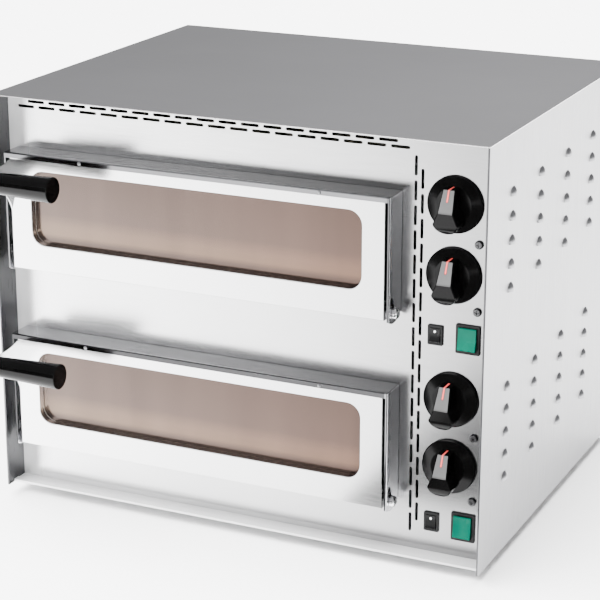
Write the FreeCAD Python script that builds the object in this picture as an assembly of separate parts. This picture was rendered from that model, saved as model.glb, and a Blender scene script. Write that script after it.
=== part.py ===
import FreeCAD, Part
import math
import os

# Countertop pizza oven with two decks, one door to each deck and a control strip on the right.
# +X is to the user's right, +Y is to the back, +Z is up. The origin is the middle of the
# footprint at table level. All lengths are millimetres.

V = FreeCAD.Vector

# ---------------------------------------------------------------- casing
body_w = 550.0
body_d = 438.0
body_h = 438.0
sheet = 1.2
foot_h = 12.0
recess = 33.0               # control face stands this far behind the casing's front edges
pan_lip_setback = 11.0      # front edge of the base pan behind the casing's front edges
fit_gap = 0.1               # gap between sheets that lie against each other
gland_reach = 18.0          # gland dome behind the rear panel
handle_axis_reach = 48.0    # handle axis ahead of the casing's front edges
handle_r = 13.5             # at the free end
handle_root_r = 10.4        # at the ear

front_y = -(body_d + gland_reach - handle_axis_reach - handle_r) / 2
rear_y = front_y + body_d
face_y = front_y + recess
case_bottom = foot_h
case_top = foot_h + body_h
side_x = body_w / 2
inner_x = side_x - sheet
behind_face = face_y + sheet + fit_gap

# ---------------------------------------------------------------- doors
deck_pitch = 200.0
door_w = 437.2
door_x = -43.6              # middle of the doors and of the baking chambers
pivot_y = front_y + 14.0
pivot_z = foot_h + 57.5     # lower deck
hood_top = 120.0            # above the pivot
hood_front = -12.0          # ahead of the pivot
hood_back = 18.2            # behind the pivot, 0.8 short of the control face
hood_flange = 2.6
hood_top_flange = 6.0
door_panel_half = door_w / 2 - 6.2
door_panel_front = -10.0
door_panel_back = 0.5
door_panel_bottom = -6.0
door_panel_top = 118.5
liner_bottom = -3.0         # higher than the panel's, to swing clear of the control face
door_swing = 85.0           # stops short of level, so that the lower handle clears the worktop
face_v = recess - 14.0      # control face behind the pivot
pin_r = 3.0
running_gap = 0.06
stop_radius = 7.0
stop_pin_r = 1.6
stop_angle = 45.0           # of the stop pin behind and above the pivot while the door is shut

window_w = 376.0
window_h = 80.0
window_r = 15.0
window_mid_z = 62.3
window_lip_back = -2.0
gasket_t = 1.0
glass_t = 4.0
glass_margin = 8.0

handle_len = 83.0
handle_v = -(handle_axis_reach + 14.0)
handle_z = 100.3

# ---------------------------------------------------------------- baking chambers
chamber_half = 200.0
chamber_floor = -12.0
chamber_ceiling = 118.0
chamber_depth = 370.0
mouth_half = 195.0
mouth_bottom = 14.0
mouth_top = 110.0
stone_z = 2.05
stone_t = 14.0
element_r = 3.3
element_legs = (70.0, 160.0, 250.0, 340.0)
element_z = {"bottom": -4.0, "top": 107.0}
element_end = 240.0
lamp_v = 300.0
lamp_z = 66.0
bulb_v = {"bottom": 115.0, "top": 205.0}
bulb_z = {"bottom": -4.0, "top": 114.6}
wool_t = 15.0
partition_x = 184.5

# ---------------------------------------------------------------- control strip
vent_pitch = 24.9
slot_len = 20.2
slot_w = 3.3
knob_x = 230.0
knob_z = {"bottom": 41.0, "top": 112.2}     # above the pivot of the same deck
knob_skirt_r = 28.6
spindle_r = 3.0
panel_screw_x = 255.0
panel_screw_z = (6.4, 74.6)
main_switch_x = 246.3
lamp_switch_x = 212.2
switch_z = -22.8

DECKS = {"lower": 0.0, "upper": deck_pitch}


# ================================================================ helpers
def box(x0, x1, y0, y1, z0, z1):
    return Part.makeBox(x1 - x0, y1 - y0, z1 - z0, V(x0, y0, z0))


def cyl_x(r, x0, x1, y=0.0, z=0.0):
    return Part.makeCylinder(r, x1 - x0, V(x0, y, z), V(1, 0, 0))


def cyl_y(r, y0, y1, x=0.0, z=0.0):
    return Part.makeCylinder(r, y1 - y0, V(x, y0, z), V(0, 1, 0))


def cyl_z(r, z0, z1, x=0.0, y=0.0):
    return Part.makeCylinder(r, z1 - z0, V(x, y, z0), V(0, 0, 1))


def edges_along(shape, axis):
    """Straight edges of a shape that run along one axis."""
    found = []
    for edge in shape.Edges:
        if len(edge.Vertexes) != 2:
            continue
        run = edge.Vertexes[1].Point - edge.Vertexes[0].Point
        if run.Length > 1e-6 and abs(abs(run.normalize().dot(axis)) - 1) < 1e-6:
            found.append(edge)
    return found


def round_box_y(half_x, z0, z1, y0, y1, r, x=0.0):
    """Block with the four edges along Y rounded."""
    block = box(x - half_x, x + half_x, y0, y1, z0, z1)
    return block.makeFillet(r, edges_along(block, V(0, 1, 0)))


def slot_y(length, width, y0, y1, x, z, upright=False):
    """Obround cutter through a sheet that faces the user, with its middle at x, z."""
    half = (length - width) / 2
    ends = [(0, -half), (0, half)] if upright else [(-half, 0), (half, 0)]
    r = width / 2
    if upright:
        core = box(x - r, x + r, y0, y1, z - half, z + half)
    else:
        core = box(x - half, x + half, y0, y1, z - r, z + r)
    return core.fuse([cyl_y(r, y0, y1, x + dx, z + dz) for dx, dz in ends])


def outline(points, place):
    """Flat face inside a closed outline. Each item is a point to run straight to, or a pair
    (middle, end) that an arc runs through."""
    edges = []
    here = place(*points[0])
    for item in points[1:] + [points[0]]:
        if isinstance(item[0], tuple):
            middle, end = place(*item[0]), place(*item[1])
            edges.append(Part.Arc(here, middle, end).toShape())
        else:
            end = place(*item)
            if (end - here).Length < 1e-6:
                continue
            edges.append(Part.LineSegment(here, end).toShape())
        here = end
    return Part.Face(Part.Wire(edges))


def prism_x(points, x0, x1):
    """Outline in the Y-Z plane, drawn out along X."""
    return outline(points, lambda y, z: V(x0, y, z)).extrude(V(x1 - x0, 0, 0))


def prism_y(points, y0, y1):
    """Outline in the X-Z plane, drawn out along Y."""
    return outline(points, lambda x, z: V(x, y0, z)).extrude(V(0, y1 - y0, 0))


def arc_from_lowest(lowest, end):
    """Middle and end of the arc that leaves its lowest point level and climbs to end."""
    run, rise = end[0] - lowest[0], end[1] - lowest[1]
    radius = (run * run + rise * rise) / (2 * rise)
    turn = math.asin(abs(run) / radius) / 2
    side = 1 if run > 0 else -1
    middle = (lowest[0] + side * radius * math.sin(turn),
              lowest[1] + radius * (1 - math.cos(turn)))
    return middle, end


def tube(points, radius, bend):
    """Round bar along straight runs that are joined by arcs of one bend radius."""
    corners = [V(*p) for p in points]
    edges = []
    here = corners[0]
    for before, corner, after in zip(corners, corners[1:], corners[2:]):
        back = (before - corner).normalize()
        ahead = (after - corner).normalize()
        half = back.getAngle(ahead) / 2
        reach = bend / math.tan(half)
        start, end = corner + back * reach, corner + ahead * reach
        inward = (back + ahead).normalize()
        middle = corner + inward * (bend / math.sin(half) - bend)
        if (start - here).Length > 1e-6:
            edges.append(Part.LineSegment(here, start).toShape())
        edges.append(Part.Arc(start, middle, end).toShape())
        here = end
    edges.append(Part.LineSegment(here, corners[-1]).toShape())
    first = corners[1] - corners[0]
    section = Part.Wire([Part.makeCircle(radius, corners[0], first)])
    return Part.Wire(edges).makePipeShell([section], True, False)


def mirror_x(shape, x=0.0):
    return shape.mirror(V(x, 0, 0), V(1, 0, 0))


def hexagon(across, x0, x1, y=0.0, z=0.0):
    """Hexagonal prism along X."""
    r = across / math.sqrt(3)
    corners = [(y + r * math.cos(math.radians(60 * i)), z + r * math.sin(math.radians(60 * i)))
               for i in range(6)]
    return prism_x(corners, x0, x1)


def turned(shape, to):
    """Turn a piece made along X so that its +X points along another axis."""
    piece = shape.copy()
    if to == "-y":
        piece.rotate(V(0, 0, 0), V(0, 0, 1), -90)
    elif to == "+y":
        piece.rotate(V(0, 0, 0), V(0, 0, 1), 90)
    elif to == "-z":
        piece.rotate(V(0, 0, 0), V(0, 1, 0), 90)
    return piece


def moved(shape, x, y, z):
    piece = shape.copy()
    piece.translate(V(x, y, z))
    return piece


def pan_screw(shank_r, shank_len, head_r, head_h):
    """Pan-head screw along X with a cross recess. The head's underside is at x = 0."""
    head = cyl_x(head_r, 0, head_h)
    rim = [e for e in head.Edges if abs(e.BoundBox.XMin - head_h) < 1e-6
           and abs(e.BoundBox.XMax - head_h) < 1e-6]
    head = head.makeFillet(head_h * 0.55, rim)
    arm, blade = head_r * 0.55, head_r * 0.13
    cross = box(head_h * 0.45, head_h + 1, -arm, arm, -blade, blade)
    cross = cross.fuse(box(head_h * 0.45, head_h + 1, -blade, blade, -arm, arm))
    return head.cut(cross).fuse(cyl_x(shank_r, -shank_len, 0.01))


def group(solids):
    return Part.Compound(solids)


def to_deck(shape, deck):
    """Place a piece drawn about its door's pivot, at the middle of the door."""
    return moved(shape, door_x, pivot_y, pivot_z + DECKS[deck])


def on_both_decks(shape):
    return [to_deck(shape, deck) for deck in DECKS]


# ================================================================ casing sheets
def base_pan():
    pan = box(-inner_x + 0.2, inner_x - 0.2, front_y + pan_lip_setback, rear_y - sheet - fit_gap,
              case_bottom, case_bottom + sheet)
    hem = box(-inner_x + 0.2, inner_x - 0.2, front_y + pan_lip_setback,
              front_y + pan_lip_setback + 9, case_bottom, case_bottom + 2 * sheet)
    wall_top = case_bottom + 16
    side = box(inner_x - 0.2 - sheet, inner_x - 0.2, face_y + 18, rear_y - 20,
               case_bottom, wall_top)
    back = box(-250, 250, rear_y - 2 * sheet - fit_gap, rear_y - sheet - fit_gap,
               case_bottom, wall_top)
    pan = pan.fuse([hem, side, mirror_x(side), back]).removeSplitter()
    return pan.cut([cyl_z(2.6, 0, 40, x, y) for x, y in foot_places()] + rear_screw_holes())


louvre_r = 9.5
louvre_sink = 5.5           # ball centre inside the panel's outer face
louvre_sheet = 1.1
louvre_rows = 5
louvre_row_pitch = 24.3
louvre_top_row = 118.9      # top row above the pivot of its deck
louvre_column_ys = [front_y + 70.0 + 86.0 * i for i in range(4)]
louvre_sill = 1.2


def louvre_places():
    for lift in DECKS.values():
        for row in range(louvre_rows):
            for y in louvre_column_ys:
                yield y, pivot_z + lift + louvre_top_row - row * louvre_row_pitch


def half_ball(radius, y, z):
    """Part of a ball that stands above a louvre's mouth."""
    ball = Part.makeSphere(radius, V(side_x - louvre_sink, y, z))
    keep = box(side_x - sheet, side_x + 10, y - 20, y + 20, z - louvre_sill, z + 20)
    return ball.common(keep)


def right_side_panel():
    top = case_top - sheet - fit_gap
    wall = box(inner_x, side_x, front_y, rear_y, case_bottom, top)
    hem = box(inner_x - sheet, side_x, front_y, front_y + 10, case_bottom, top)
    hem = hem.makeFillet(1.0, [e for e in edges_along(hem, V(0, 0, 1))
                               if e.BoundBox.YMax < front_y + 1])
    back = box(inner_x - 15, side_x - 0.01, rear_y - 2 * sheet - fit_gap,
               rear_y - sheet - fit_gap, case_bottom + 20, top - 1)
    wall = wall.cut(box(inner_x - 1, side_x + 1, front_y - 1, front_y + 5, 0, case_top))
    wall = wall.fuse([hem, back]).removeSplitter()
    wall = wall.cut(box(inner_x - 1, side_x + 1, rear_y - sheet - fit_gap, rear_y + 1,
                        case_bottom - 1, top + 1).cut(
                            box(side_x - sheet, side_x + 2, rear_y - 5, rear_y + 2,
                                case_bottom - 2, top + 2)))
    hollows = [half_ball(louvre_r - louvre_sheet, y, z) for y, z in louvre_places()]
    domes = [half_ball(louvre_r, y, z).cut(half_ball(louvre_r - louvre_sheet, y, z))
             for y, z in louvre_places()]
    return wall.fuse(domes).cut(hollows + rear_screw_holes())


def top_cover():
    top = box(-side_x, side_x, front_y, rear_y, case_top - sheet, case_top)
    rim = [e for e in top.Edges if e.BoundBox.ZMin > case_top - 0.01
           and e.BoundBox.YMax < rear_y + 1]
    top = top.makeFillet(0.8, rim)
    back = box(-252, 252, rear_y - 2 * sheet - fit_gap, rear_y - sheet - fit_gap,
               case_top - 16, case_top - 0.5)
    return top.fuse(back).removeSplitter().cut(rear_screw_holes())


rear_screw_places = [(x, z) for x in (-266.0, 266.0)
                     for z in (case_bottom + 60, case_bottom + 219, case_top - 60)]
rear_screw_places += [(x, z) for x in (-150.0, 150.0) for z in (case_bottom + 9, case_top - 9)]
gland_x, gland_z = 235.0, case_bottom + 46.0
stud_x, stud_z = 196.0, case_bottom + 34.0


def rear_screw_holes():
    """Clearance through the rear panel and the flanges that it is screwed to."""
    return [cyl_y(2.1, rear_y - 5, rear_y + 5, x, z) for x, z in rear_screw_places]


def rear_panel():
    wall = box(-inner_x + 0.1, inner_x - 0.1, rear_y - sheet, rear_y,
               case_bottom, case_top - sheet - fit_gap)
    through = (rear_y - 5, rear_y + 5)
    cuts = rear_screw_holes()
    cuts.append(cyl_y(8.05, *through, gland_x, gland_z))
    cuts.append(cyl_y(3.05, *through, stud_x, stud_z))
    for row in range(3):
        for column in range(9):
            cuts.append(slot_y(32, 4, *through, -200 + 50 * column, case_top - 38 - 14 * row))
    return wall.cut(cuts)


def vent_slots():
    """Double row along the top and double column beside the control strip."""
    through = (face_y - 2, face_y + 4)
    cuts = []
    row_z = (case_bottom + 426.0, case_bottom + 420.4)
    row_x = (-239.2, -251.5)
    for z, x, count in zip(row_z, row_x, (17, 18)):
        cuts += [slot_y(slot_len, slot_w, *through, x + vent_pitch * i, z) for i in range(count)]
    column_x = (188.5, 195.5)
    column_z = (case_bottom + 403.6, case_bottom + 390.9)
    for x, z, count in zip(column_x, column_z, (16, 15)):
        cuts += [slot_y(slot_len, slot_w, *through, x, z - vent_pitch * i, True)
                 for i in range(count)]
    return cuts


def front_panel():
    bottom, top = case_bottom + sheet + fit_gap, case_top - sheet - fit_gap
    face = box(-inner_x + 0.2, inner_x - 0.2, face_y, face_y + sheet, bottom, top)
    side = box(inner_x - 0.2 - sheet, inner_x - 0.2, face_y, face_y + 15, bottom, top)
    panel = face.fuse([side, mirror_x(side)]).removeSplitter()
    cuts = vent_slots()
    through = (face_y - 2, face_y + 3)
    for lift in DECKS.values():
        base = pivot_z + lift
        cuts.append(round_box_y(mouth_half, base + mouth_bottom, base + mouth_top, *through,
                                8, door_x))
        for side in (-1, 1):
            x = door_x + side * (lug_outer - lug_t / 2)
            cuts.append(box(x - 1.2, x + 1.2, *through, base + 1.2, base + lug_nose_r + 0.3))
        cuts += [cyl_y(9.1, *through, knob_x, base + z) for z in knob_z.values()]
        cuts += [cyl_y(2.1, *through, panel_screw_x, base + z) for z in panel_screw_z]
        cuts.append(round_box_y(11.1, base + switch_z - 14.1, base + switch_z + 14.1, *through,
                                1, main_switch_x))
        cuts.append(round_box_y(6.6, base + switch_z - 9.1, base + switch_z + 9.1, *through,
                                1, lamp_switch_x))
    return panel.cut(cuts)


def wall_holes(local_x0, local_x1):
    """Cutters for what passes from a chamber into the control bay, about the door's pivot."""
    cuts = []
    for level in element_z:
        for v in (element_legs[0], element_legs[-1]):
            cuts.append(cyl_x(element_r + 0.1, local_x0, local_x1, v, element_z[level]))
        cuts.append(cyl_x(1.5, local_x0, local_x1, bulb_v[level], bulb_z[level]))
    cuts.append(cyl_x(14.1, local_x0, local_x1, lamp_v, lamp_z))
    return cuts


def control_bay_partition():
    wall = box(partition_x, partition_x + sheet, behind_face, rear_y - 2 * sheet - 3 * fit_gap,
               case_bottom + sheet + fit_gap, case_top - sheet - fit_gap - 0.1)
    wall = wall.cut(box(partition_x - 1, partition_x + 3, rear_y - 8, rear_y, 0, case_bottom + 17))
    wall = wall.cut(box(partition_x - 1, partition_x + 3, rear_y - 8, rear_y,
                        case_top - 17, case_top))
    cuts = []
    for cut in wall_holes(partition_x - door_x - 3, partition_x - door_x + 4):
        cuts += on_both_decks(cut)
    return wall.cut(cuts)


def foot_places():
    return [(x, y) for x in (-225.0, 225.0) for y in (front_y + 52, rear_y - 45)]


def rubber_feet():
    feet = []
    for x, y in foot_places():
        foot = Part.makeCone(15, 18, foot_h - 0.05, V(x, y, 0), V(0, 0, 1))
        foot = foot.makeFillet(1.2, [e for e in foot.Edges if e.BoundBox.ZMax < 0.01])
        foot = foot.cut([cyl_z(6, -1, 5, x, y), cyl_z(2.6, -1, foot_h + 1, x, y)])
        feet.append(foot)
    return group(feet)


def foot_screws():
    screw = turned(pan_screw(2.5, 15, 5, 3), "-z")
    nut = turned(hexagon(8, 0, 3.2).cut(cyl_x(2.55, -1, 5)), "-z")
    solids = []
    for x, y in foot_places():
        solids.append(moved(screw, x, y, 5))
        solids.append(moved(nut, x, y, case_bottom + sheet + 3.3))
    return group(solids)


# ================================================================ baking chambers
def chamber_shell():
    front = face_v + sheet + fit_gap
    back = front + chamber_depth
    outer = box(-chamber_half - sheet, chamber_half + sheet, front, back + sheet,
                chamber_floor - sheet, chamber_ceiling + sheet)
    flange = box(-chamber_half - 8.5, chamber_half + 8.5, front, front + sheet,
                 chamber_floor - 8, chamber_ceiling + 8)
    inner = box(-chamber_half, chamber_half, front - 1, back, chamber_floor, chamber_ceiling)
    ledge = box(chamber_half - 12, chamber_half + 0.1, front + 4, back - 4,
                stone_z - 0.05 - sheet, stone_z - 0.05)
    shell = outer.fuse(flange).cut(inner).fuse([ledge, mirror_x(ledge)]).removeSplitter()
    return shell.cut(wall_holes(chamber_half - 2, chamber_half + 4))


def baking_stone():
    front = face_v + 6
    stone = box(-chamber_half + 4, chamber_half - 4, front, front + 358,
                stone_z, stone_z + stone_t)
    rim = [e for e in stone.Edges if abs(e.BoundBox.ZMin - (stone_z + stone_t)) < 1e-6]
    return stone.makeChamfer(1.5, rim)


def element(level):
    z = element_z[level]
    far, near = -190.0, 185.0
    path = [(element_end, element_legs[0], z), (far, element_legs[0], z),
            (far, element_legs[1], z), (near, element_legs[1], z),
            (near, element_legs[2], z), (far, element_legs[2], z),
            (far, element_legs[3], z), (element_end, element_legs[3], z)]
    return tube(path, element_r, 44)


def thermostat_bulb(deck, level):
    """Sensing bulb in the chamber with its capillary run to the thermostat's back."""
    v, z = bulb_v[level], bulb_z[level]
    bulb = cyl_x(3, 95, 180, v, z)
    body_x = knob_x - door_x
    body_back = face_v + sheet + 8 + 28.1
    capillary = tube([(179.9, v, z), (body_x, v, z), (body_x, v, knob_z[level]),
                      (body_x, body_back, knob_z[level])], 1.2, 9)
    return to_deck(bulb.fuse(capillary), deck)


def insulation_blankets():
    """Wool boards on the five closed sides of each chamber."""
    half = chamber_half + sheet + 0.3
    front = face_v + sheet + fit_gap + 3
    back = face_v + 2 * sheet + fit_gap + chamber_depth + 0.3
    low, high = chamber_floor - sheet - 0.3, chamber_ceiling + sheet + 0.3
    wide = half + wool_t
    side = box(half, wide, front, back, low, high)
    boards = [box(-wide, wide, front, back, low - wool_t, low - 0.3),
              box(-wide, wide, front, back, high + 0.3, high + wool_t),
              side.cut(wall_holes(half - 1, wide + 1)),
              mirror_x(side),
              box(-wide, wide, back + 0.3, back + wool_t, low - wool_t, high + wool_t)]
    solids = []
    for board in boards:
        solids += on_both_decks(board)
    return group(solids)


def lamp_holder():
    flange = cyl_x(19, chamber_half + sheet, chamber_half + sheet + 0.25, lamp_v, lamp_z)
    body = cyl_x(14, chamber_half + 0.2, chamber_half + 44, lamp_v, lamp_z)
    socket = cyl_x(9, chamber_half - 0.1, chamber_half + 30, lamp_v, lamp_z)
    return body.fuse(flange).cut(socket)


def lamp_glass():
    ball = Part.makeSphere(16.5, V(chamber_half + 4.3, lamp_v, lamp_z))
    cap = ball.common(box(chamber_half - 14, chamber_half - 0.1, lamp_v - 20, lamp_v + 20,
                          lamp_z - 20, lamp_z + 20))
    hollow = Part.makeSphere(14.5, V(chamber_half + 4.3, lamp_v, lamp_z))
    return cap.cut(hollow)


# ================================================================ doors
def door_hood():
    lowest = (0.0, -10.3)
    heel = (hood_back, liner_bottom)
    profile = [(hood_front, hood_top), (hood_back, hood_top), heel]
    profile.append((arc_from_lowest(lowest, heel)[0], lowest))
    profile.append(arc_from_lowest(lowest, (hood_front, -6.5)))
    half = door_w / 2
    block = prism_x(profile, -half, half)
    bends = []
    for edge in block.Edges:
        b = edge.BoundBox
        on_top = b.ZMin > hood_top - 0.01
        on_front = b.YMax < hood_front + 0.01
        on_side = b.XMin > half - 0.01 or b.XMax < -half + 0.01
        if (on_top and (on_front or (on_side and b.YLength > 1))) or (on_front and on_side):
            bends.append(edge)
    block = block.makeFillet(1.6, bends)
    inside = box(-half + sheet, half - sheet, hood_front + sheet, 60, -40, hood_top - sheet)
    mouth = box(-half + hood_flange, half - hood_flange, hood_front - 5, 60,
                -40, hood_top - hood_top_flange)
    hood = block.cut([inside, mouth])
    slot_r = pin_r + running_gap
    through = (-half - 5, half + 5)
    lift_slot = prism_x([(-slot_r, 0), (slot_r, 0), (lift_end_r, lift), (-lift_end_r, lift)],
                        *through)
    lift_slot = lift_slot.fuse([cyl_x(slot_r, *through), cyl_x(lift_end_r, *through, 0, lift)])
    lift_slot.rotate(V(0, 0, 0), V(1, 0, 0), lift_lean)
    rivet_holes = [cyl_y(1.3, hood_front - 5, hood_front + 3, x, rivet_z) for x in rivet_xs]
    hood = hood.cut([lift_slot] + rivet_holes)
    pin = cyl_x(stop_pin_r, half - 4.2, half - sheet / 2, *stop_place(stop_angle))
    return hood.fuse([pin, mirror_x(pin)])


lift = 14.2                 # slots in the hood's sides, in which the open door lifts off its pins
lift_lean = 22.0
lift_end_r = 4.0


def stop_place(angle):
    """Y and Z of the stop pin about the pivot."""
    turn = math.radians(angle)
    return stop_radius * math.cos(turn), stop_radius * math.sin(turn)


rivet_xs = (-127.0, 144.0)
rivet_z = hood_top - 3.5


def window_block(grow, y0, y1):
    return round_box_y(window_w / 2 + grow, window_mid_z - window_h / 2 - grow,
                       window_mid_z + window_h / 2 + grow, y0, y1, window_r + grow)


def handle_ear():
    """Plate bent forward from the left edge of the door panel to carry the handle."""
    end_r = 10.0
    panel_edge = door_panel_front + 0.5
    profile = [(panel_edge, 113.1), ((-32.0, 108.0), (handle_v, handle_z + end_r)),
               ((handle_v - end_r, handle_z), (handle_v, handle_z - end_r)),
               ((-24.0, 78.6), (panel_edge, 57.6))]
    return prism_x(profile, -door_panel_half, -door_panel_half + sheet)


def door_panel():
    half = door_panel_half
    outer = box(-half, half, door_panel_front, door_panel_back, door_panel_bottom, door_panel_top)
    outer = outer.makeFillet(0.8, [e for e in outer.Edges
                                   if e.BoundBox.YMax < door_panel_front + 0.01])
    inner = box(-half + sheet, half - sheet, door_panel_front + sheet, door_panel_back + 1,
                door_panel_bottom + sheet, door_panel_top - sheet)
    tray = outer.cut(inner)
    lip = window_block(sheet, door_panel_front + sheet / 2, window_lip_back)
    opening = window_block(0, door_panel_front - 5, 10)
    tray = tray.fuse([lip, handle_ear()]).cut(opening)
    mouth_edges = [e for e in tray.Edges if e.BoundBox.YMax < door_panel_front + 0.01
                   and abs(e.BoundBox.Center.z - window_mid_z) < window_h / 2 + 1
                   and abs(e.BoundBox.Center.x) < window_w / 2 + 1]
    tray = tray.makeFillet(1.0, mouth_edges)
    holes = [cyl_y(1.3, door_panel_front - 3, door_panel_front + 3, x, rivet_z)
             for x in rivet_xs]
    holes.append(cyl_x(3.05, -half - 5, -half + 5, handle_v, handle_z))
    return tray.cut(holes)


def door_liner():
    half = door_panel_half
    rim_front = door_panel_back + fit_gap
    outer = box(-half, half, rim_front, hood_back, liner_bottom, door_panel_top)
    inner = box(-half + sheet, half - sheet, rim_front - 1, hood_back - sheet,
                liner_bottom + sheet, door_panel_top - sheet)
    glass_back = window_lip_back + gasket_t + glass_t
    lip = window_block(sheet, glass_back + 0.1, hood_back - sheet / 2)
    return outer.cut(inner).fuse(lip).cut(window_block(0, -20, 40))


def glass_gasket():
    ring = window_block(glass_margin, window_lip_back, window_lip_back + gasket_t)
    return ring.cut(window_block(0.5, window_lip_back - 1, window_lip_back + gasket_t + 1))


def window_glass():
    front = window_lip_back + gasket_t
    return window_block(glass_margin - 1, front, front + glass_t)


def door_handle():
    start = -door_panel_half + sheet
    bar = Part.makeCone(handle_root_r, handle_r, handle_len, V(start, handle_v, handle_z),
                        V(1, 0, 0))
    ends = [e for e in bar.Edges if e.BoundBox.XLength < 1e-6]
    bar = bar.makeFillet(0.8, ends)
    return bar.cut(cyl_x(3.05, start - 1, start + 26, handle_v, handle_z))


def handle_screw():
    screw = mirror_x(pan_screw(3.0, 24, 5.5, 3.6))
    return moved(screw, -door_panel_half, handle_v, handle_z)


def door_rivets():
    rivets = []
    for x in rivet_xs:
        shank = cyl_y(1.25, hood_front, door_panel_front + sheet, x, rivet_z)
        dome = Part.makeSphere(2.4, V(x, hood_front + 1.4, rivet_z))
        dome = dome.common(box(x - 3, x + 3, hood_front - 1, hood_front, rivet_z - 3, rivet_z + 3))
        rivets.append(shank.fuse(dome))
    return group(rivets)


# ================================================================ hinges
lug_outer = door_w / 2 - sheet - 0.4
lug_t = 2.0
lug_nose_r = 10.3           # turns inside the hood's front flanges


def hinge_lug():
    foot_back = face_v + sheet + fit_gap + lug_t
    x0, x1 = lug_outer - lug_t, lug_outer
    plate = cyl_x(lug_nose_r, x0, x1).fuse(box(x0, x1, 0, foot_back, -8, lug_nose_r))
    below = prism_x([(-20, -8), (0, -8), (face_v, 1.5), (foot_back + 1, 1.5),
                     (foot_back + 1, -20), (-20, -20)], x0 - 1, x1 + 1)
    ring = cyl_x(stop_radius + stop_pin_r + 0.3, x0 - 1, x1 + 1)
    ring = ring.cut(cyl_x(stop_radius - stop_pin_r - 0.3, x0 - 2, x1 + 2))
    angles = (stop_angle, stop_angle + door_swing / 2, stop_angle + door_swing)
    spokes = [(5 * y, 5 * z) for y, z in map(stop_place, angles)]
    slot = ring.common(prism_x([(0, 0)] + spokes, x0 - 1, x1 + 1))
    ends = [cyl_x(stop_pin_r + 0.3, x0 - 1, x1 + 1, *stop_place(angle))
            for angle in (angles[0], angles[-1])]
    bore = cyl_x(pin_r + 0.05, x0 - 1, x1 + 1)
    foot = box(x0, x1 + 10, foot_back - lug_t, foot_back, 1.5, 34)
    return plate.cut([below, slot, bore] + ends).fuse(foot)


def shoulder_screw():
    seat = door_w / 2 + 0.9
    head_r, head_h = 6.0, 4.6
    head = cyl_x(head_r, seat, seat + head_h)
    rim = [e for e in head.Edges if e.BoundBox.XMin > seat + head_h - 0.01]
    head = head.makeFillet(3.2, rim)
    socket = hexagon(4, seat + 1.8, seat + head_h + 1)
    return head.cut(socket).fuse(cyl_x(pin_r, door_w / 2 - 5.5, seat + 0.01))


def hinge_washer():
    start = door_w / 2 + 0.3
    return cyl_x(6.6, start, start + 0.6).cut(cyl_x(pin_r + 0.05, start - 1, start + 2))


def at_four_hinges(piece):
    solids = []
    for side in (piece, mirror_x(piece)):
        solids += on_both_decks(side)
    return group(solids)


# ================================================================ controls
def knob():
    """Knob about its spindle: the skirt lies in the X-Z plane and the grip points to -Y."""
    r = knob_skirt_r
    skirt = Part.Face(Part.Wire(Part.makePolygon(
        [V(0, 0, 0), V(r - 0.5, 0, 0), V(r, -0.5, 0), V(r, -2.0, 0), V(r - 1.2, -2.7, 0),
         V(18, -5.4, 0), V(0, -5.4, 0), V(0, 0, 0)]).Edges))
    skirt = skirt.revolve(V(0, 0, 0), V(0, 1, 0), 360)
    grip = prism_y([(-6.3, 18.5), (6.3, 18.5), (8.0, -3.0), (12.8, -14.0),
                    ((0, -24.5), (-12.8, -14.0)), (-8.0, -3.0)], -3, -40)
    side = prism_x([(-2.0, 18.5), (-19.0, 18.5), (-28.9, -3.0), (-28.9, -14.0),
                    ((-26.8, -20.0), (-21.0, -25.0)), (-2.0, -25.0)], -20, 20)
    grip = grip.common(side)
    crown = [e for e in grip.Edges if e.BoundBox.YMax < -18 and e.BoundBox.ZLength > 3]
    grip = grip.makeChamfer(0.9, crown)
    return skirt.fuse(grip).cut(cyl_y(spindle_r + 0.05, -15, 1))


def spindle():
    shaft = cyl_y(spindle_r, -14.5, sheet + 12)
    return shaft.cut(box(-4, 4, -15, -6, spindle_r * 0.55, 4))


def thermostat_body():
    """Capillary thermostat behind the control face, about its spindle."""
    front = sheet
    bushing = cyl_y(8, -0.2, front + 8)
    body = round_box_y(18, -18, 18, front + 8, front + 36, 2)
    tabs = [box(x - 2.5, x + 2.5, front + 36, front + 44, z - 0.4, z + 0.4)
            for x in (-9, 9) for z in (-8, 8)]
    plate = box(-20, 20, front + 0.1, front + 1.3, -10, 10)
    bore = cyl_y(spindle_r + running_gap, -1, front + 14)
    return body.fuse([bushing, plate] + tabs).cut(bore)


def rocker_switch_housing(bezel_w, bezel_h, well_w, well_h, body_half_w, body_half_h, depth,
                          pivot_back):
    """Snap-in housing: a bezel on the control face with a well for the rocker, and holes in
    the well's sides for the rocker's trunnions."""
    bezel = round_box_y(bezel_w / 2, -bezel_h / 2, bezel_h / 2, -bezel_t, 0, 1.5)
    rim = [e for e in bezel.Edges if e.BoundBox.YMax < -bezel_t + 0.01]
    bezel = bezel.makeFillet(0.7, rim)
    body = box(-body_half_w, body_half_w, -0.1, depth, -body_half_h, body_half_h)
    tabs = [box(x - 0.4, x + 0.4, depth - 0.1, depth + 8, -3, 3) for x in (-4, 4)]
    well = box(-well_w / 2, well_w / 2, -bezel_t - 1, 9, -well_h / 2, well_h / 2)
    pivot_holes = cyl_x(trunnion_r + 0.05, -body_half_w - 0.1, body_half_w + 0.1, pivot_back)
    return bezel.fuse([body] + tabs).cut([well, pivot_holes])


bezel_t = 2.0
rocker_swing = 14.0
trunnion_r = 1.2


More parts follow.
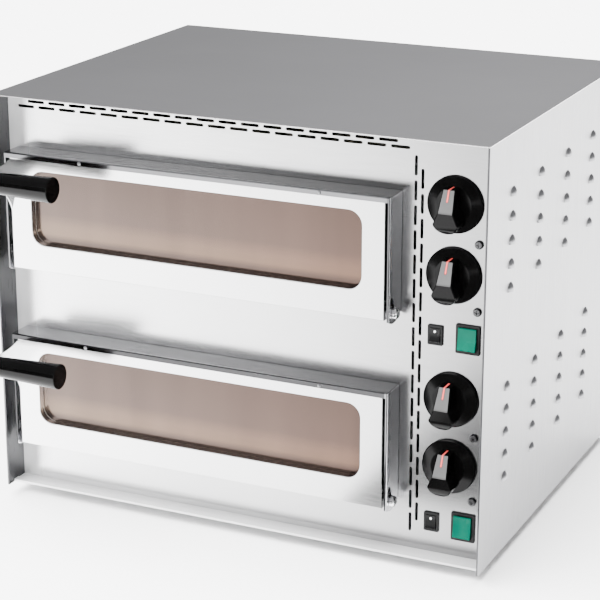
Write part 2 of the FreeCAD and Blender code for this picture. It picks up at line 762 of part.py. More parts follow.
def rocker(half_w, half_h, proud, pivot_back, dish, trunnion_reach):
    """Rocker with a shallow dished face, tipped to its rest side about the X axis."""
    front = -(bezel_t + proud)
    block = prism_x([(pivot_back + 2, half_h - 2.5), (front + 1, half_h), (front, half_h - 0.7),
                     ((front + dish, 0.0), (front, -half_h + 0.7)), (front + 1, -half_h),
                     (pivot_back + 2, -half_h + 2.5)], -half_w, half_w)
    block.rotate(V(0, pivot_back, 0), V(1, 0, 0), -rocker_swing / 2)
    return block.fuse(cyl_x(trunnion_r, -trunnion_reach, trunnion_reach, pivot_back))


main_rocker_pivot = 1.0
lamp_rocker_pivot = 0.5


def on_face(shape, x, z, deck):
    return moved(shape, x, face_y, pivot_z + DECKS[deck] + z)


def control_panel_screws():
    screw = turned(pan_screw(2.0, 6, 4.4, 2.6), "-y")
    return group([on_face(screw, panel_screw_x, z, deck) for deck in DECKS
                  for z in panel_screw_z])


def case_screws():
    screw = turned(pan_screw(2.0, 7, 4.0, 2.4), "+y")
    return group([moved(screw, x, rear_y, z) for x, z in rear_screw_places])


def terminal_block():
    middle_y = rear_y - 97
    base = box(204, 264, middle_y - 13, middle_y + 13, case_bottom + sheet + 0.1, case_bottom + 9)
    poles = []
    for i in range(5):
        x = 206 + 11.4 * i
        pole = box(x, x + 9.6, middle_y - 11, middle_y + 11, case_bottom + 8.9, case_bottom + 21)
        poles.append(pole.cut([cyl_z(2.4, case_bottom + 15, case_bottom + 25, x + 4.8, y)
                               for y in (middle_y - 5, middle_y + 5)]))
    return base.fuse(poles)


gland_bore_r = 5.0


def cable_gland():
    """Cord inlet in the rear panel. +X of the drawing is turned to +Y."""
    hexagon_out = hexagon(22, 0, 6)
    dome = cyl_x(10.6, 5.9, gland_reach)
    dome = dome.makeFillet(3.0, [e for e in dome.Edges
                                 if e.BoundBox.XMin > gland_reach - 0.01])
    thread = cyl_x(8, -12, 0.1)
    locknut = hexagon(20, -sheet - 0.1 - 4, -sheet - 0.1)
    gland = thread.fuse([hexagon_out, dome, locknut]).cut(cyl_x(gland_bore_r, -20, 30))
    return moved(turned(gland, "+y"), gland_x, rear_y, gland_z)


stud_reach = 14.0


def bonding_stud():
    """Threaded stud for an equipotential bonding wire, with its nuts."""
    stud = cyl_x(3.0, -9, stud_reach)
    outer_nut = hexagon(10, 0, 2.5)
    inner_nut = hexagon(10, -sheet - 5, -sheet)
    return moved(turned(stud.fuse([outer_nut, inner_nut]), "+y"), stud_x, rear_y, stud_z)


# ================================================================ write the nodes
def build():
    nodes = {
        "base_pan": base_pan(),
        "top_cover": top_cover(),
        "rear_panel": rear_panel(),
        "front_panel": front_panel(),
        "control_bay_partition": control_bay_partition(),
        "rubber_feet": rubber_feet(),
        "foot_screws": foot_screws(),
        "insulation_blankets": insulation_blankets(),
        "lamp_holders": group(on_both_decks(lamp_holder())),
        "lamp_glasses": group(on_both_decks(lamp_glass())),
        "hinge_lugs": at_four_hinges(hinge_lug()),
        "hinge_screws": at_four_hinges(shoulder_screw()),
        "hinge_washers": at_four_hinges(hinge_washer()),
        "control_panel_screws": control_panel_screws(),
        "case_screws": case_screws(),
        "terminal_block": terminal_block(),
        "cable_gland": cable_gland(),
        "bonding_stud": bonding_stud(),
    }
    right = right_side_panel()
    nodes["right_side_panel"] = right
    nodes["left_side_panel"] = mirror_x(right)

    door_pieces = {
        "door_hood": door_hood(),
        "door_panel": door_panel(),
        "door_liner": door_liner(),
        "door_glass_gasket": glass_gasket(),
        "door_window_glass": window_glass(),
        "door_handle": door_handle(),
        "door_handle_screw": handle_screw(),
        "door_rivets": door_rivets(),
        "chamber_shell": chamber_shell(),
        "baking_stone": baking_stone(),
        "bottom_element": element("bottom"),
        "top_element": element("top"),
    }
    for deck in DECKS:
        for name, shape in door_pieces.items():
            nodes[f"{deck}_{name}"] = to_deck(shape, deck)

    body, shaft, handle = thermostat_body(), spindle(), knob()
    nodes["thermostat_bodies"] = group([on_face(body, knob_x, z, deck) for deck in DECKS
                                        for z in knob_z.values()])
    nodes["thermostat_bulbs"] = group([thermostat_bulb(deck, level) for deck in DECKS
                                       for level in knob_z])
    for deck in DECKS:
        for level, z in knob_z.items():
            nodes[f"{deck}_{level}_heat_knob"] = on_face(moved(handle, 0, -0.6, 0), knob_x, z, deck)
            nodes[f"{deck}_{level}_heat_spindle"] = on_face(shaft, knob_x, z, deck)

    main_housing = rocker_switch_housing(25.6, 30.6, 19.4, 24.2, 11.0, 14.0, 24,
                                         main_rocker_pivot)
    lamp_housing = rocker_switch_housing(16.3, 21.0, 11.2, 15.4, 6.5, 9.0, 16,
                                         lamp_rocker_pivot)
    main_rocker = rocker(9.3, 11.5, 3.8, main_rocker_pivot, 0.8, 10.6)
    lamp_rocker = rocker(5.2, 7.2, 1.6, lamp_rocker_pivot, 0.6, 6.1)
    nodes["main_switch_housings"] = group([on_face(main_housing, main_switch_x, switch_z, deck)
                                           for deck in DECKS])
    nodes["lamp_switch_housings"] = group([on_face(lamp_housing, lamp_switch_x, switch_z, deck)
                                           for deck in DECKS])
    for deck in DECKS:
        nodes[f"{deck}_main_rocker"] = on_face(main_rocker, main_switch_x, switch_z, deck)
        nodes[f"{deck}_lamp_rocker"] = on_face(lamp_rocker, lamp_switch_x, switch_z, deck)
    return nodes


os.makedirs("parts", exist_ok=True)
for node, shape in build().items():
    shape.exportStep(f"parts/{node}.step")
    print(f"{node:34s} solids {len(shape.Solids):3d}  valid {shape.isValid()}")
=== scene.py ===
import math

import bpy
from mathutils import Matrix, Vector


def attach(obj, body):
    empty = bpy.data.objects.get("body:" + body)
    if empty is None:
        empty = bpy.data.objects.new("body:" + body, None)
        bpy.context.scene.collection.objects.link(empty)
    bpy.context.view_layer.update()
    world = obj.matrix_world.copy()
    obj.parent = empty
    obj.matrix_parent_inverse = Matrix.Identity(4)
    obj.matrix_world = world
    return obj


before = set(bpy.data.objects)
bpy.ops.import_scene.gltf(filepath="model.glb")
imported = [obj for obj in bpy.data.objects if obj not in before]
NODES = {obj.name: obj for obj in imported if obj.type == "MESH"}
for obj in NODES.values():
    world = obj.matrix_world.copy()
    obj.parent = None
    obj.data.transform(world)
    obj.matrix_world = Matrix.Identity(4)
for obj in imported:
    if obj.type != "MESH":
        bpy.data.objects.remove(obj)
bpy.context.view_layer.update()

DECK_STEP = 0.200
DECKS = {"lower": 0.0, "upper": DECK_STEP}

# Places on the object, in metres, in the row frame.
FRONT_Y = -0.19725
FACE_Y = FRONT_Y + 0.033
PIVOT_Z = 0.0695
KNOB_X = 0.230
KNOB_Z = {"bottom": 0.0410, "top": 0.1122}
LAMP_SWITCH_X = 0.2122
SIDE_X = 0.275
HOOD_LIP_Y = FRONT_Y - 0.012
HOOD_FLANGE_X = 0.1712
SWITCH_Z = -0.0228


# ---------------------------------------------------------------- node helpers
class Nodes:
    """A material's node tree, with short ways to add and join nodes."""

    def __init__(self, name):
        self.material = bpy.data.materials.new(name)
        self.material.use_nodes = True
        self.tree = self.material.node_tree
        self.shader = self.tree.nodes["Principled BSDF"]
        places = self.add("ShaderNodeTexCoord")
        self.coord = places.outputs["Object"]
        self.normal = places.outputs["Normal"]

    def add(self, kind, **settings):
        node = self.tree.nodes.new(kind)
        for key, value in settings.items():
            setattr(node, key, value)
        return node

    def join(self, a, b):
        self.tree.links.new(a, b)

    def put(self, **values):
        """Constants on the shader's own sockets; spaces in a socket's name are written as _."""
        for key, value in values.items():
            self.shader.inputs[key.replace("_", " ")].default_value = value

    def noise(self, scale, stretch=(1, 1, 1), detail=4.0, roughness=0.55):
        """Noise in the row frame. A small stretch factor draws the pattern out along its axis."""
        mapping = self.add("ShaderNodeMapping")
        mapping.inputs["Scale"].default_value = stretch
        self.join(self.coord, mapping.inputs["Vector"])
        node = self.add("ShaderNodeTexNoise")
        node.inputs["Scale"].default_value = scale
        node.inputs["Detail"].default_value = detail
        node.inputs["Roughness"].default_value = roughness
        self.join(mapping.outputs["Vector"], node.inputs["Vector"])
        return node.outputs["Fac"]

    def ramp(self, fac, stops):
        node = self.add("ShaderNodeValToRGB")
        ramp = node.color_ramp
        while len(ramp.elements) < len(stops):
            ramp.elements.new(0.5)
        for element, (place, colour) in zip(ramp.elements, stops):
            element.position = place
            element.color = (*colour, 1.0)
        self.join(fac, node.inputs["Fac"])
        return node.outputs["Color"]

    def spread(self, fac, low, high):
        """Take the middle of a noise to the range low to high."""
        node = self.add("ShaderNodeMapRange")
        node.inputs["From Min"].default_value = 0.3
        node.inputs["From Max"].default_value = 0.7
        node.inputs["To Min"].default_value = low
        node.inputs["To Max"].default_value = high
        self.join(fac, node.inputs["Value"])
        return node.outputs["Result"]

    def part_of(self, output, axis):
        """One component of a place or a direction."""
        node = self.add("ShaderNodeSeparateXYZ")
        self.join(output, node.inputs["Vector"])
        return node.outputs[axis]

    def place(self, axis):
        return self.part_of(self.coord, axis)

    def facing(self, axis):
        """Component of the surface's direction, in the row frame at rest."""
        return self.part_of(self.normal, axis)

    def fade(self, value, start, end, low, high):
        """Go smoothly from low to high as the value goes from start to end."""
        node = self.add("ShaderNodeMapRange")
        node.inputs["From Min"].default_value = start
        node.inputs["From Max"].default_value = end
        node.inputs["To Min"].default_value = low
        node.inputs["To Max"].default_value = high
        self.join(value, node.inputs["Value"])
        return node.outputs["Result"]

    def maths(self, operation, a, b=0.0):
        """Sum, product and so on of two values; b may be a plain number."""
        node = self.add("ShaderNodeMath", operation=operation)
        self.join(a, node.inputs[0])
        self.feed(node.inputs[1], b)
        return node.outputs["Value"]

    def feed(self, socket, value):
        """Give a socket another node's output, or a plain number."""
        if isinstance(value, (int, float)):
            socket.default_value = value
        else:
            self.join(value, socket)

    def pick(self, mask, outside, inside, kind="RGBA"):
        """The value inside where the mask is 1 and the value outside where it is 0."""
        node = self.add("ShaderNodeMix", data_type=kind)
        self.join(mask, node.inputs["Factor"])
        self.feed(node.inputs["A"], outside)
        self.feed(node.inputs["B"], inside)
        return node.outputs["Result"]

    def scaled(self, colour, factor):
        """Colour with its strength multiplied by a value."""
        node = self.add("ShaderNodeVectorMath", operation="SCALE")
        self.join(colour, node.inputs[0])
        self.join(factor, node.inputs["Scale"])
        return node.outputs["Vector"]

    def blend(self, kind, fac, a, b):
        node = self.add("ShaderNodeMix", data_type="RGBA", blend_type=kind)
        node.inputs["Factor"].default_value = fac
        self.join(a, node.inputs["A"])
        self.join(b, node.inputs["B"])
        return node.outputs["Result"]

    def bump(self, height, strength, distance=0.0005):
        node = self.add("ShaderNodeBump")
        node.inputs["Strength"].default_value = strength
        node.inputs["Distance"].default_value = distance
        self.join(height, node.inputs["Height"])
        self.join(node.outputs["Normal"], self.shader.inputs["Normal"])


def tone(colour, factor):
    return tuple(min(1.0, c * factor) for c in colour)


GRAIN = {"x": (0.03, 1.0, 1.0), "z": (1.0, 1.0, 0.03)}


def brushed(name, colour, rough, grain="x", streak=0.05, smudge=0.05, spread=0.06):
    """Rolled or brushed sheet: fine scratches along the grain over wide, faint cloudiness."""
    n = Nodes(name)
    fine = n.noise(900, GRAIN[grain], detail=6)
    wide = n.noise(6, detail=3)
    band = n.noise(90, GRAIN[grain], detail=2)
    n.put(Metallic=1.0)
    base = n.ramp(band, [(0.3, tone(colour, 1 - streak)), (0.7, tone(colour, 1 + streak))])
    cloud = n.ramp(wide, [(0.3, tone((1, 1, 1), 1 - smudge)), (0.7, (1, 1, 1))])
    n.join(n.blend("MULTIPLY", 1.0, base, cloud), n.shader.inputs["Base Color"])
    scratched = n.spread(fine, rough - spread, rough + spread)
    clouded = n.spread(wide, -spread / 2, spread / 2)
    n.join(n.maths("ADD", scratched, clouded), n.shader.inputs["Roughness"])
    n.bump(fine, 0.06, 0.0002)
    return n.material


def sheet_with_painted_light(name, colour, rough, left, right, metallic=1.0, dull_end=None):
    """Brushed sheet with painted light: its brightness drifts from its left to its right end,
    standing in for the studio's reflections on it.

    dull_end is how metallic it still looks at its far left edge.
    """
    n = Nodes(name)
    fine = n.noise(900, GRAIN["x"], detail=6)
    wide = n.noise(6, detail=3)
    n.put(Metallic=metallic)
    if dull_end is not None:
        n.join(n.fade(n.place("X"), -SIDE_X, -SIDE_X + 0.040, dull_end, metallic),
               n.shader.inputs["Metallic"])
    base = n.ramp(wide, [(0.3, tone(colour, 0.96)), (0.7, tone(colour, 1.02))])
    # Painted reflection: the colour is scaled by a fade from left to right.
    n.join(n.scaled(base, n.fade(n.place("X"), -0.25, 0.25, left, right)),
           n.shader.inputs["Base Color"])
    n.join(n.spread(fine, rough - 0.03, rough + 0.03), n.shader.inputs["Roughness"])
    n.bump(fine, 0.02, 0.0002)
    return n.material


def hood_with_painted_light(name, colour, rough, left, right, lip_shade):
    """Bent sheet of a door's hood with painted light: painted shade darkens it toward the control
    side and on its front lip, a painted highlight lightens the top along its front bend, and faces
    turned to the right are painted lighter.
    """
    n = Nodes(name)
    fine = n.noise(900, GRAIN["x"], detail=6)
    wide = n.noise(9, detail=3)
    n.put(Metallic=1.0)
    base = n.ramp(wide, [(0.3, tone(colour, 0.94)), (0.7, tone(colour, 1.06))])
    # Painted shade: the colour falls off from the left toward the control side.
    along = n.fade(n.place("X"), -0.25, 0.17, left, right)
    # Painted highlight along the top's front bend.
    edge = n.fade(n.place("Y"), HOOD_LIP_Y, HOOD_LIP_Y + 0.006, 1.2, 1.0)
    # Painted light: faces turned to the right get 2.6 times the colour.
    side = n.maths("GREATER_THAN", n.facing("X"), 0.6)
    factor = n.pick(side, n.maths("MULTIPLY", along, edge), 2.6, "FLOAT")
    # Painted shade: the front lip, except at its right end, is given a fixed, darker factor.
    lip = n.maths("MULTIPLY", n.maths("LESS_THAN", n.facing("Y"), -0.6),
                  n.maths("LESS_THAN", n.place("X"), HOOD_FLANGE_X))
    factor = n.pick(lip, factor, lip_shade, "FLOAT")
    n.join(n.scaled(base, factor), n.shader.inputs["Base Color"])
    n.join(n.spread(fine, rough - 0.03, rough + 0.03), n.shader.inputs["Roughness"])
    n.bump(fine, 0.008, 0.0002)
    return n.material


def two_faced_steel(name, colour, inner_colour, rough):
    """Brushed sheet of the casing's sides, much darker on its inner face than on its outer face.
    """
    n = Nodes(name)
    fine = n.noise(900, GRAIN["z"], detail=6)
    wide = n.noise(6, detail=3)
    n.put(Metallic=1.0)
    outermost = n.maths("GREATER_THAN", n.maths("ABSOLUTE", n.place("X")), SIDE_X - 0.0004)
    inner = n.ramp(wide, [(0.3, tone(inner_colour, 0.94)), (0.7, tone(inner_colour, 1.06))])
    outer = n.ramp(wide, [(0.3, tone(colour, 0.95)), (0.7, tone(colour, 1.0))])
    n.join(n.pick(outermost, inner, outer), n.shader.inputs["Base Color"])
    n.join(n.spread(fine, rough - 0.06, rough + 0.06), n.shader.inputs["Roughness"])
    n.bump(fine, 0.06, 0.0002)
    return n.material


def plain_metal(name, colour, rough, scale=160, vary=0.08, bump=0.1):
    """Dull, cast, plated or turned metal with no grain."""
    n = Nodes(name)
    grit = n.noise(scale, detail=5)
    n.put(Metallic=1.0)
    n.join(n.ramp(grit, [(0.3, tone(colour, 1 - vary)), (0.7, tone(colour, 1 + vary))]),
           n.shader.inputs["Base Color"])
    n.join(n.spread(grit, rough - 0.07, rough + 0.07), n.shader.inputs["Roughness"])
    n.bump(grit, bump, 0.0002)
    return n.material


def moulded(name, colour, rough, shine=0.5, scale=700, vary=0.15, bump=0.05, wear=0.05):
    """Moulded plastic or rubber with a fine texture and slight wear in its gloss."""
    n = Nodes(name)
    grit = n.noise(scale, detail=3)
    wide = n.noise(40, detail=3)
    n.put(Metallic=0.0, Specular_IOR_Level=shine)
    n.join(n.ramp(wide, [(0.3, tone(colour, 1 - vary)), (0.7, tone(colour, 1 + vary))]),
           n.shader.inputs["Base Color"])
    n.join(n.spread(wide, rough - wear, rough + wear), n.shader.inputs["Roughness"])
    n.bump(grit, bump, 0.0001)
    return n.material


def speckled(name, colours, rough, scale, bump, metallic=0.0):
    """Grainy mineral or fibrous surface built from three tones."""
    n = Nodes(name)
    grain = n.noise(scale, detail=8, roughness=0.7)
    wide = n.noise(14, detail=4)
    n.put(Metallic=metallic, Roughness=rough)
    dark, mid, light = colours
    base = n.ramp(grain, [(0.32, dark), (0.5, mid), (0.68, light)])
    cloud = n.ramp(wide, [(0.3, (0.86, 0.84, 0.82)), (0.7, (1, 1, 1))])
    n.join(n.blend("MULTIPLY", 0.7, base, cloud), n.shader.inputs["Base Color"])
    n.bump(grain, bump, 0.0006)
    return n.material


def window_material():
    """Heat-reflecting oven glass: a warm, half-mirrored coat with faint upright streaks.

    Its lower part has a lighter, yellower band, above a dark foot along the rim.
    """
    n = Nodes("coated_oven_glass")
    streak = n.noise(26, (1.0, 1.0, 0.06), detail=3)
    haze = n.noise(5, detail=2)
    n.put(Metallic=0.80, IOR=1.5, Transmission_Weight=0.5)
    # Painted reflection: the tint darkens from left to right.
    painted_reflection_drift = n.fade(n.place("X"), -0.23, 0.14, 0.0, 1.0)
    tint = n.ramp(painted_reflection_drift, [(0.0, (0.092, 0.068, 0.058)), (1.0, (0.059, 0.036, 0.028))])
    height = n.maths("MODULO", n.maths("SUBTRACT", n.place("Z"), PIVOT_Z), DECK_STEP)
    level = n.fade(height, 0.020, 0.105, 0.0, 1.0)
    band = n.ramp(level, [(0.03, (0.36,) * 3), (0.09, (0.42,) * 3), (0.16, (0.80, 0.77, 0.68)),
                          (0.26, (0.78, 0.75, 0.68)), (0.41, (0.52,) * 3), (0.82, (0.46,) * 3)])
    tint = n.blend("MULTIPLY", 1.0, n.blend("ADD", 1.0, tint, tint), band)
    cloud = n.ramp(streak, [(0.3, (0.87, 0.87, 0.88)), (0.7, (1.07, 1.07, 1.07))])
    n.join(n.blend("MULTIPLY", 1.0, tint, cloud), n.shader.inputs["Base Color"])
    n.join(n.spread(haze, 0.16, 0.24), n.shader.inputs["Roughness"])
    return n.material


def knob_material(deck, level):
    """Glossy black knob whose sloping finger face is painted soft grey, a painted highlight
    standing in for the light it reflects.
    """
    n = Nodes(f"knob_plastic_{deck}_{level}")
    wide = n.noise(40, detail=3)
    grit = n.noise(700, detail=3)
    middle = PIVOT_Z + DECKS[deck] + KNOB_Z[level]
    n.put(Metallic=0.0, Specular_IOR_Level=0.10)
    black = n.ramp(wide, [(0.3, (0.0009,) * 3), (0.7, (0.0012,) * 3)])
    # Painted highlight: the soft grey given to the sloping face in place of black.
    painted_sheen = n.ramp(wide, [(0.3, (0.060,) * 3), (0.7, (0.070,) * 3)])
    upper = n.fade(n.place("Z"), middle - 0.005, middle - 0.001, 0.0, 1.0)
    slope = n.maths("MULTIPLY", n.fade(n.facing("Y"), -0.80, -0.88, 0.0, 1.0),
                    n.fade(n.facing("Z"), 0.20, 0.30, 0.0, 1.0))
    proud = n.fade(n.place("Y"), FACE_Y - 0.0145, FACE_Y - 0.0165, 0.0, 1.0)
    mask = n.maths("MULTIPLY", n.maths("MULTIPLY", upper, slope), proud)
    n.join(n.pick(mask, black, painted_sheen), n.shader.inputs["Base Color"])
    n.join(n.spread(wide, 0.14, 0.22), n.shader.inputs["Roughness"])
    n.bump(grit, 0.02, 0.0001)
    return n.material


def clear_glass():
    n = Nodes("lamp_cover_glass")
    ripple = n.noise(120, detail=2)
    n.put(IOR=1.47, Transmission_Weight=0.9)
    n.join(n.ramp(ripple, [(0.3, (0.90, 0.92, 0.90)), (0.7, (0.98, 0.98, 0.97))]),
           n.shader.inputs["Base Color"])
    n.join(n.spread(ripple, 0.03, 0.10), n.shader.inputs["Roughness"])
    return n.material


MATERIALS = {
    # Painted light: for each sheet and hood, the two numbers after the roughness scale its colour
    # at the left and at the right, and a hood's last number darkens its front lip as painted
    # shade.
    "front_steel": sheet_with_painted_light("front_steel", (0.86, 0.86, 0.865), 0.23, 1.0, 0.30,
                                dull_end=0.3),
    "pan_steel": sheet_with_painted_light("pan_steel", (0.80, 0.80, 0.805), 0.30, 1.0, 0.70, metallic=0.4),
    "side_steel": two_faced_steel("side_steel", (0.29, 0.29, 0.297), (0.08, 0.08, 0.083), 0.32),
    "top_steel": sheet_with_painted_light("top_steel", (0.66, 0.655, 0.66), 0.34, 0.84, 1.25),
    "upper_hood_steel": hood_with_painted_light("upper_hood_steel", (0.30, 0.30, 0.31), 0.15, 1.10, 0.22, 0.40),
    "lower_hood_steel": hood_with_painted_light("lower_hood_steel", (0.30, 0.30, 0.31), 0.15, 1.90, 0.50, 0.14),
    "panel_steel": sheet_with_painted_light("panel_steel", (0.88, 0.88, 0.885), 0.20, 1.05, 0.48),
    "rear_steel": brushed("rear_steel", (0.32, 0.32, 0.325), 0.36, "z"),
    "zinc_steel": plain_metal("zinc_steel", (0.60, 0.62, 0.63), 0.45, 24, 0.12),
    "chamber_steel": brushed("chamber_steel", (0.62, 0.61, 0.59), 0.40, "x", smudge=0.2),
    "bright_steel": plain_metal("bright_steel", (0.86, 0.86, 0.87), 0.16, 300, 0.04, 0.04),
    "screw_steel": plain_metal("screw_steel", (0.07, 0.07, 0.072), 0.30, 300, 0.08, 0.05),
    "dark_steel": plain_metal("dark_steel", (0.16, 0.16, 0.17), 0.42, 200, 0.15),
    "rivet_metal": plain_metal("rivet_metal", (0.26, 0.26, 0.27), 0.35, 300, 0.06),
    "copper": plain_metal("copper", (0.70, 0.40, 0.26), 0.35),
    "brass": plain_metal("brass", (0.74, 0.60, 0.30), 0.30),
    "element_sheath": speckled("element_sheath", ((0.05, 0.05, 0.05), (0.11, 0.10, 0.095),
                                                  (0.18, 0.165, 0.15)), 0.6, 160, 0.25, 0.6),
    "stone": speckled("stone", ((0.50, 0.44, 0.35), (0.68, 0.61, 0.50), (0.78, 0.72, 0.62)),
                      0.85, 420, 0.5),
    "wool": speckled("wool", ((0.45, 0.42, 0.33), (0.62, 0.58, 0.46), (0.72, 0.68, 0.57)),
                     0.95, 260, 0.9),
    "ceramic": speckled("ceramic", ((0.74, 0.72, 0.68), (0.82, 0.80, 0.76), (0.86, 0.85, 0.82)),
                        0.45, 300, 0.08),
    "gasket": speckled("gasket", ((0.55, 0.54, 0.50), (0.72, 0.71, 0.67), (0.80, 0.79, 0.76)),
                       0.9, 900, 0.6),
    "handle_plastic": moulded("handle_plastic", (0.0006, 0.0006, 0.0006), 0.12, shine=0.14,
                              bump=0.01, wear=0.03),
    "bezel_plastic": moulded("bezel_plastic", (0.0025, 0.0026, 0.0028), 0.38, shine=0.18),
    "rocker_black": moulded("rocker_black", (0.0025, 0.0025, 0.0026), 0.30, shine=0.18),
    "rocker_green": moulded("rocker_green", (0.0, 0.075, 0.048), 0.25, shine=0.05, bump=0.01),
    "rubber": moulded("rubber", (0.025, 0.025, 0.026), 0.75, bump=0.3),
    "window": window_material(),
    "lamp_glass": clear_glass(),
    "pointer_red": moulded("pointer_red", (0.60, 0.07, 0.06), 0.35, vary=0.08),
    "pointer_edge": moulded("pointer_edge", (0.14, 0.004, 0.006), 0.30, vary=0.08),
    "dot_white": moulded("dot_white", (0.90, 0.90, 0.88), 0.35, vary=0.03),
}

LOOKS = {
    "base_pan": "pan_steel",
    "left_side_panel": "side_steel",
    "right_side_panel": "side_steel",
    "top_cover": "top_steel",
    "rear_panel": "rear_steel",
    "front_panel": "front_steel",
    "control_bay_partition": "zinc_steel",
    "rubber_feet": "rubber",
    "foot_screws": "screw_steel",
    "control_panel_screws": "screw_steel",
    "case_screws": "screw_steel",
    "hinge_screws": "bright_steel",
    "hinge_washers": "bright_steel",
    "hinge_lugs": "dark_steel",
    "insulation_blankets": "wool",
    "lamp_holders": "ceramic",
    "lamp_glasses": "lamp_glass",
    "terminal_block": "ceramic",
    "cable_gland": "bezel_plastic",
    "bonding_stud": "brass",
    "thermostat_bodies": "zinc_steel",
    "thermostat_bulbs": "copper",
    "main_switch_housings": "bezel_plastic",
    "lamp_switch_housings": "bezel_plastic",
}
DECK_LOOKS = {
    "door_panel": "panel_steel",
    "door_liner": "chamber_steel",
    "door_glass_gasket": "gasket",
    "door_window_glass": "window",
    "door_handle": "handle_plastic",
    "door_handle_screw": "bright_steel",
    "door_rivets": "rivet_metal",
    "chamber_shell": "chamber_steel",
    "baking_stone": "stone",
    "bottom_element": "element_sheath",
    "top_element": "element_sheath",
    "bottom_heat_spindle": "zinc_steel",
    "top_heat_spindle": "zinc_steel",
    "main_rocker": "rocker_green",
    "lamp_rocker": "rocker_black",
}


def paint_nodes():
    for deck in DECKS:
        for name, look in DECK_LOOKS.items():
            LOOKS[f"{deck}_{name}"] = look
        LOOKS[f"{deck}_door_hood"] = f"{deck}_hood_steel"
        for level in KNOB_Z:
            look = LOOKS[f"{deck}_{level}_heat_knob"] = f"{deck}_{level}_knob_plastic"
            MATERIALS[look] = knob_material(deck, level)
    for name, look in LOOKS.items():
        mesh = NODES[name].data
        mesh.materials.clear()
        mesh.materials.append(MATERIALS[look])


# ---------------------------------------------------------------- pieces made here
def mesh_piece(name, points, faces, look, body):
    mesh = bpy.data.meshes.new(name)
    mesh.from_pydata(points, [], faces)
    mesh.update()
    piece = bpy.data.objects.new(name, mesh)
    bpy.context.collection.objects.link(piece)
    mesh.materials.append(MATERIALS[look])
    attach(piece, body)
    return piece


# Side view of the knob's grip, from the skirt up its end wall and on to its sloping face, as
# (y, z) from the spindle's foot on the control face.
POINTER_PATH = [(-0.0054, 0.0185), (-0.0190, 0.0185), (-0.02374, 0.0082)]


def pointer_strip(deck, level, name, look, half, lift, end):
    """Painted strip over the grip's end wall and face, with a rounded end on the face."""
    base = Vector((KNOB_X, FACE_Y - 0.0006, PIVOT_Z + DECKS[deck] + KNOB_Z[level]))
    along = Vector((0, POINTER_PATH[2][0] - POINTER_PATH[1][0],
                    POINTER_PATH[2][1] - POINTER_PATH[1][1])).normalized()
    rows = [(half, Vector((0, *place))) for place in POINTER_PATH]
    last = rows[-1][1] + along * end
    for i in range(1, 7):
        turn = math.radians(15 * i)
        rows.append((max(half * math.cos(turn), 0.00002), last + along * half * math.sin(turn)))
    points, faces = [], []
    for reach, place in rows:
        for x, rise in ((-reach, 0.0), (-reach, lift), (reach, lift), (reach, 0.0)):
            points.append(base + place + Vector((x, -rise, rise)))
    for i in range(len(rows) - 1):
        a, b = 4 * i, 4 * (i + 1)
        faces += [(a + j, a + j + 1, b + j + 1, b + j) for j in range(3)]
    faces += [(0, 3, 2, 1), tuple(len(points) - 4 + j for j in range(4))]
    return mesh_piece(f"{deck}_{level}_{name}", points, faces, look,
                      f"{deck}_{level}_heat_control")


def pointer(deck, level):
    """Index mark in two tones."""
    pointer_strip(deck, level, "pointer_edge", "pointer_edge", 0.00105, 0.00012, 0.0)
    pointer_strip(deck, level, "pointer", "pointer_red", 0.00065, 0.00020, -0.0002)


def switch_dot(deck):
    """White index dot on the upper half of the lamp rocker."""
    turn = math.radians(-7.0)
    pivot = Vector((LAMP_SWITCH_X, FACE_Y + 0.0005, PIVOT_Z + DECKS[deck] + SWITCH_Z))
    sides, radius = 24, 0.0012
    middle_y, middle_z = -0.00368, 0.0036
    points = []
    for depth in (0.0, -0.00014):
        for i in range(sides):
            angle = 2 * math.pi * i / sides
            x = radius * math.cos(angle)
            z = middle_z + radius * math.sin(angle)
            y = middle_y + depth
            points.append(pivot + Vector((x, y * math.cos(turn) - z * math.sin(turn),
                                          y * math.sin(turn) + z * math.cos(turn))))
    faces = [(i, (i + 1) % sides, sides + (i + 1) % sides, sides + i) for i in range(sides)]
    faces.append(tuple(range(2 * sides - 1, sides - 1, -1)))
    faces.append(tuple(range(sides)))
    return mesh_piece(f"{deck}_switch_dot", points, faces, "dot_white",
                      f"{deck}_lamp_switch_rocker")


# ---------------------------------------------------------------- floor, light and camera
def add_floor():
    bpy.ops.mesh.primitive_plane_add(size=120.0, location=(0, 0, 0))
    floor = bpy.context.object
    floor.name = "studio_floor"
    n = Nodes("studio_floor")
    mottle = n.noise(1.2, detail=2)
    n.join(n.ramp(mottle, [(0.2, (0.94, 0.94, 0.94)), (0.8, (0.96, 0.96, 0.96))]),
           n.shader.inputs["Base Color"])
    n.put(Roughness=0.7)
    floor.data.materials.append(n.material)


def add_softbox(name, place, target, width, height, power, colour=(1, 1, 1)):
    light = bpy.data.lights.new(name, "AREA")
    light.shape = "RECTANGLE"
    light.size, light.size_y = width, height
    light.energy = power
    light.color = colour
    lamp = bpy.data.objects.new(name, light)
    lamp.location = place
    lamp.rotation_euler = (Vector(target) - Vector(place)).to_track_quat("-Z", "Y").to_euler()
    bpy.context.collection.objects.link(lamp)


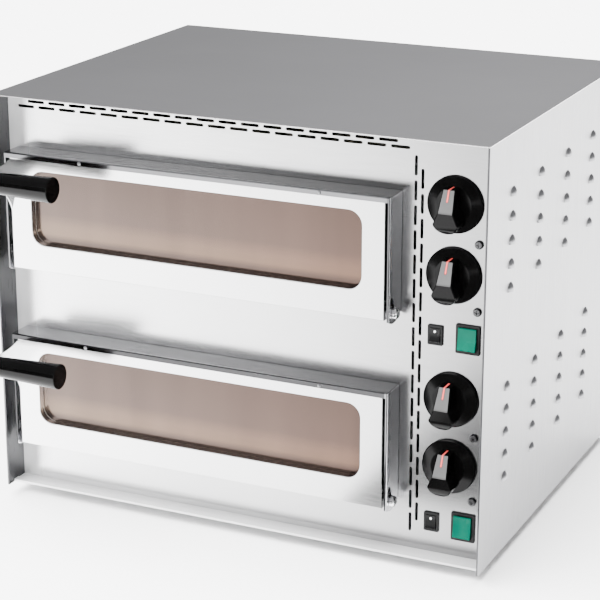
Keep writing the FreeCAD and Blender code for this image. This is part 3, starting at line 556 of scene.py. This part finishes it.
def add_sun(power, angle, turn):
    light = bpy.data.lights.new("ceiling", "SUN")
    light.energy = power
    light.angle = math.radians(angle)
    lamp = bpy.data.objects.new("ceiling", light)
    lamp.rotation_euler = turn
    lamp.visible_glossy = False
    bpy.context.collection.objects.link(lamp)


def add_card(name, place, size, turn, tone_low):
    """Studio card that is seen in reflections only."""
    bpy.ops.mesh.primitive_plane_add(size=1.0, location=place)
    card = bpy.context.object
    card.name = name
    card.scale = (*size, 1.0)
    card.rotation_euler = turn
    n = Nodes(name)
    weave = n.noise(30, detail=2)
    n.join(n.ramp(weave, [(0.3, (tone_low,) * 3), (0.7, (tone_low * 1.4,) * 3)]),
           n.shader.inputs["Base Color"])
    n.put(Roughness=1.0)
    card.data.materials.append(n.material)
    card.visible_camera = False
    card.visible_diffuse = False
    card.visible_shadow = False
    card.visible_transmission = False


def add_light():
    world = bpy.data.worlds.new("studio")
    world.use_nodes = True
    world.node_tree.nodes["Background"].inputs["Color"].default_value = (0.50, 0.50, 0.515, 1)
    world.node_tree.nodes["Background"].inputs["Strength"].default_value = 1.0
    bpy.context.scene.world = world
    add_sun(26.0, 70, (math.radians(10), math.radians(-12), 0))
    add_softbox("front_left", (-0.9, -2.4, 1.65), (0.2, -0.2, 0.3), 1.4, 1.0, 28)
    add_card("dark_card", (0.92, -1.35, 0.004), (1.70, 2.1), (0, 0, 0), 0.03)
    add_card("dark_wall", (-1.3, -2.3, 0.65), (6.0, 1.3), (math.radians(90), 0, math.radians(-20)),
             0.03)


def add_camera():
    camera = bpy.data.cameras.new("camera")
    camera.sensor_width = 36.0
    camera.lens = 121.54
    eye = bpy.data.objects.new("camera", camera)
    eye.location = (0.8861, -1.92925, 0.8960)
    eye.rotation_euler = (math.radians(90 - 18.03), 0, math.radians(24.95))
    bpy.context.collection.objects.link(eye)
    bpy.context.scene.camera = eye


paint_nodes()
for deck in DECKS:
    for level in KNOB_Z:
        pointer(deck, level)
    switch_dot(deck)
add_floor()
add_light()
add_camera()
